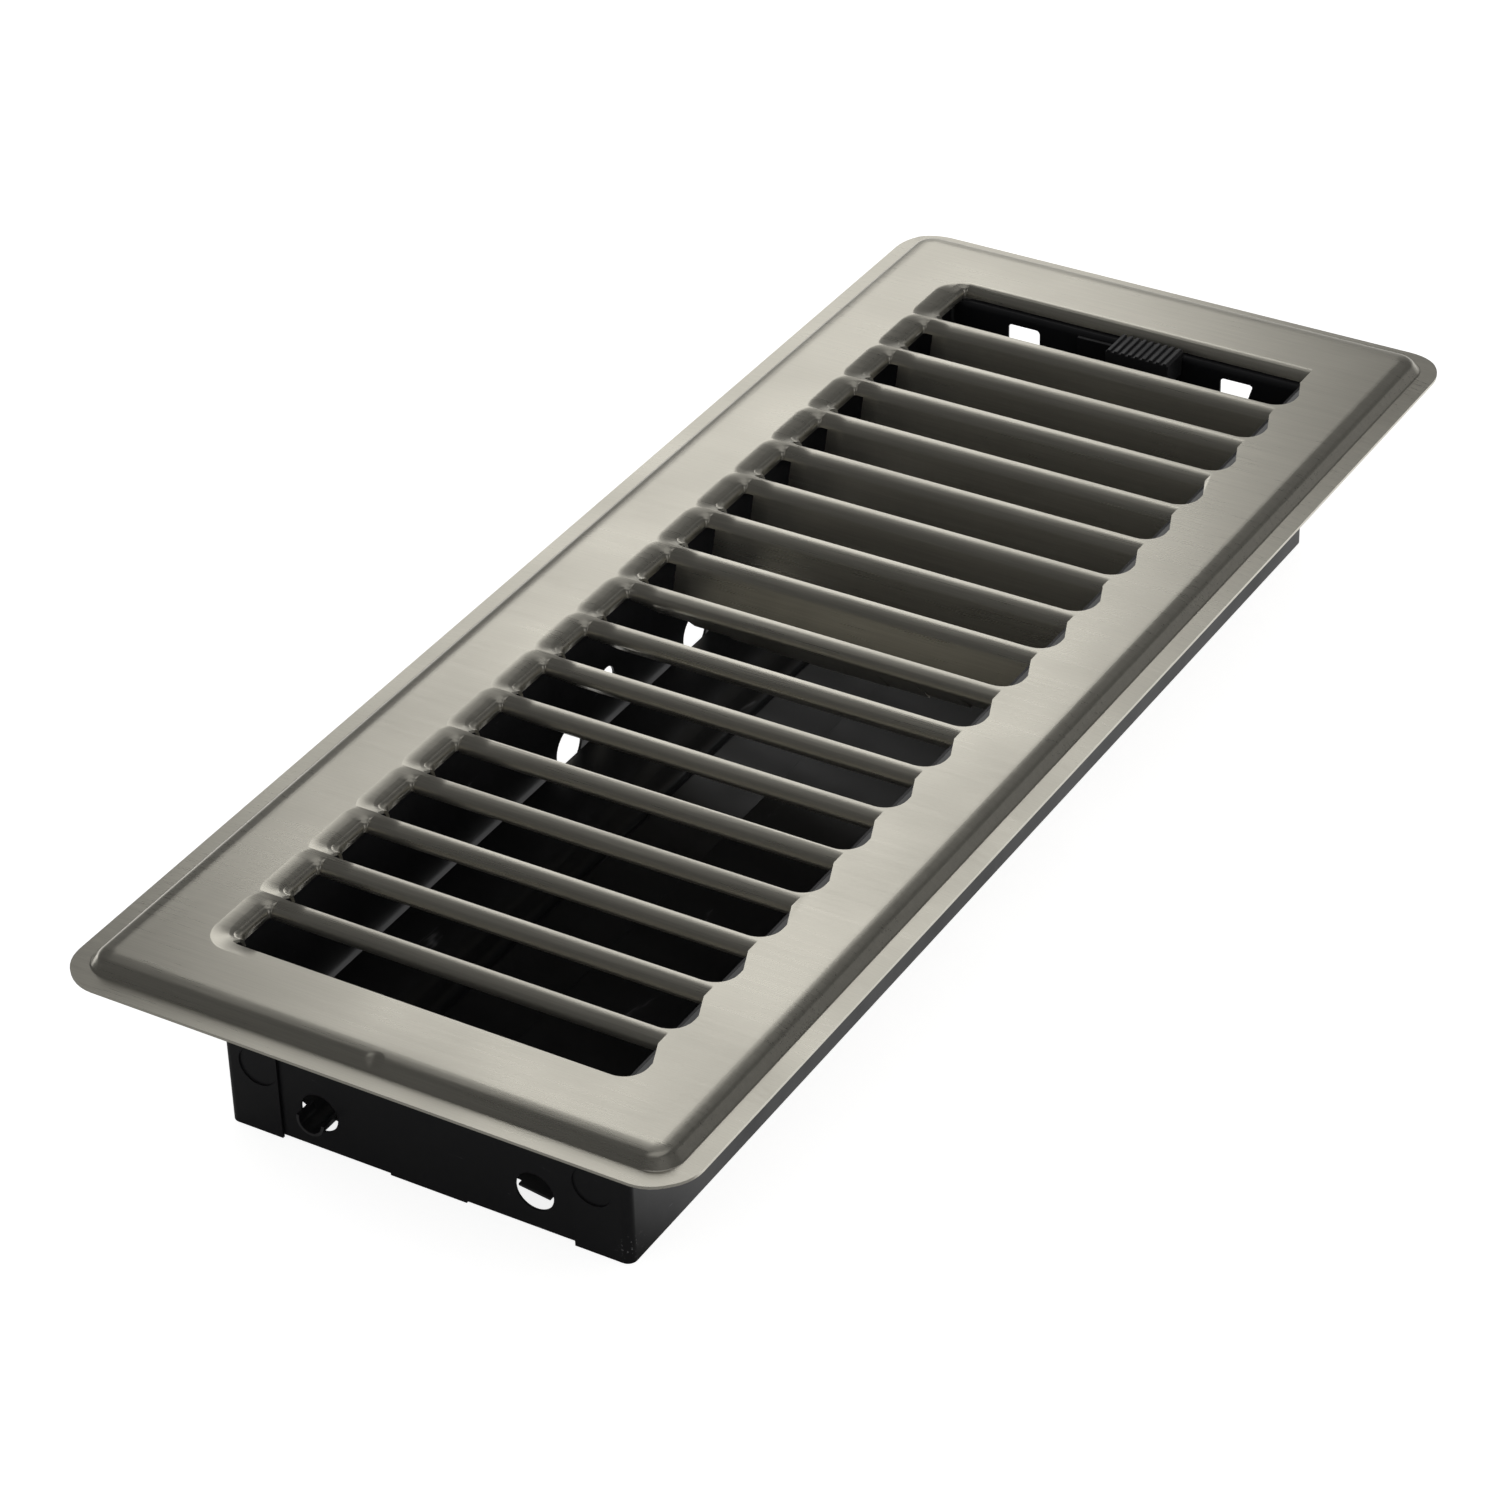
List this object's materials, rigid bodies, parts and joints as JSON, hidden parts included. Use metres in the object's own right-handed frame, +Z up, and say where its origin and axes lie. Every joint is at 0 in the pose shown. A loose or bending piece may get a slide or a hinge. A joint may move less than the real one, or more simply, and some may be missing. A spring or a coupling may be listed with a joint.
{
  "type": "floor register",
  "caption": "Louvered floor register: brushed steel faceplate over a black damper box, whose blades turn together when the thumb lever slides.",
  "frame": {"origin": "under the centre of the faceplate's outline, on the plane of the damper box's lower edges", "axes": "+X across the width to the side where the openings have a plain cut end, +Y along the length to the thumb lever's end, +Z up through the faceplate"},
  "size_m": [0.1396, 0.343, 0.0434],
  "materials": {
    "brushed_nickel": "satin",
    "black_paint": "satin",
    "black_plastic": "matte"
  },
  "bodies": {
    "register": {"faceplate": "brushed_nickel", "left_wall": "black_paint", "right_wall": "black_paint", "near_end_plate": "black_paint", "far_end_plate": "black_paint"},
    "lever": {"damper_lever": "black_paint", "thumb_knob": "black_plastic"},
    "left_damper": {"left_blade": "black_paint"},
    "right_damper": {"right_blade": "black_paint"}
  },
  "joints": [
    {"name": "lever_slide", "type": "slide", "parent": "register", "child": "lever", "axis": [1, 0, 0], "range_m": [-0.0019, 0.00949]},
    {"name": "left_blade_hinge", "type": "hinge", "parent": "register", "child": "left_damper", "pos_m": [-0.0247, 0, 0.0091], "axis": [0, 1, 0], "range_deg": [-8.01, 40.01]},
    {"name": "right_blade_hinge", "type": "hinge", "parent": "register", "child": "right_damper", "pos_m": [0.0247, 0, 0.0091], "axis": [0, 1, 0], "range_deg": [-8.01, 40.01]}
  ],
  "couplings": [
    {"joint": "left_blade_hinge", "follows": "lever_slide", "rad_per_m": 73.561},
    {"joint": "right_blade_hinge", "follows": "lever_slide", "rad_per_m": 73.561}
  ]
}
